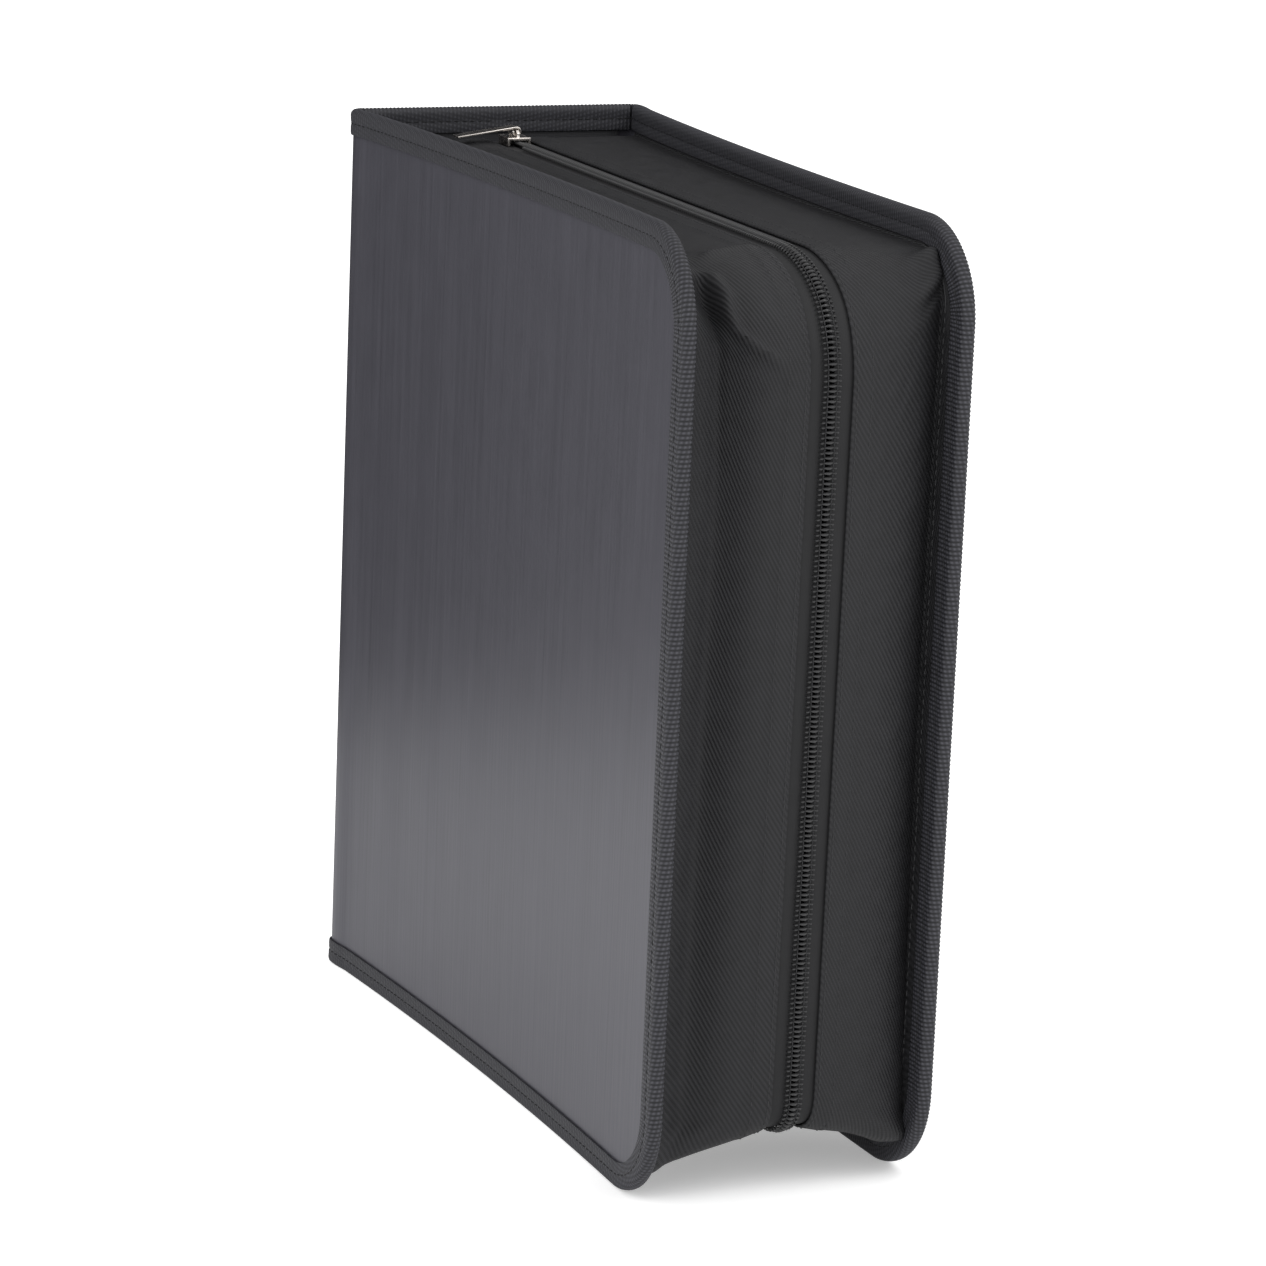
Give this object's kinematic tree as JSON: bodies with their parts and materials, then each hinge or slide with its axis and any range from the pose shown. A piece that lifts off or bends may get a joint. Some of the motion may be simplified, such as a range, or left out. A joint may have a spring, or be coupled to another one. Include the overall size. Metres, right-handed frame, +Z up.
{
  "type": "cd storage case",
  "caption": "Zip-round storage case for discs: stiff grey covers and spine, ribbed edge binding, black cloth gusset, a coil zip with a metal pull, and disc sleeves bound at the spine.",
  "frame": {"origin": "centre of the footprint, on the surface the case stands on", "axes": "+Z up, +X from the spine to the fore-edge, +Y from the front cover to the back cover"},
  "size_m": [0.281, 0.1106, 0.31],
  "materials": {
    "shell": "satin polypropylene with a fine upright grain",
    "lining": "plain woven lining",
    "ribbon": "ribbed woven ribbon",
    "cloth": "twill nylon",
    "tape": "herringbone zip tape",
    "coil": "moulded nylon coil",
    "sleeve": "clear film over soft backing",
    "metal": "nickel plate"
  },
  "bodies": {
    "spine": {"spine_panel": "shell", "spine_lining": "lining", "spine_top_binding": "ribbon", "spine_foot_binding": "ribbon", "page_strip": "lining", "sleeve_pages": "sleeve"},
    "front_cover": {"front_cover_panel": "shell", "front_cover_lining": "lining", "front_edge_binding": "ribbon", "front_gusset": "cloth", "front_zip_tape": "tape", "front_zip_coil": "coil"},
    "back_cover": {"back_cover_panel": "shell", "back_cover_lining": "lining", "back_edge_binding": "ribbon", "back_gusset": "cloth", "back_zip_tape": "tape", "back_zip_coil": "coil"},
    "slider": {"zip_slider": "metal"},
    "pull": {"zip_pull": "metal"}
  },
  "joints": [
    {"name": "front_cover_fold", "type": "hinge", "parent": "spine", "child": "front_cover", "pos_m": [-0.1397, -0.05445, 0], "axis": [0, 0, -1], "range_deg": [0, 180]},
    {"name": "back_cover_fold", "type": "hinge", "parent": "spine", "child": "back_cover", "pos_m": [-0.1397, 0.05445, 0], "axis": [0, 0, 1], "range_deg": [0, 180]},
    {"name": "slider_run", "type": "slide", "parent": "back_cover", "child": "slider", "axis": [1, 0, 0], "range_m": [0, 0.216]},
    {"name": "pull_swing", "type": "hinge", "parent": "slider", "child": "pull", "pos_m": [-0.1215, 0, 0.30396], "axis": [-1, 0, 0], "range_deg": [0, 188]}
  ]
}
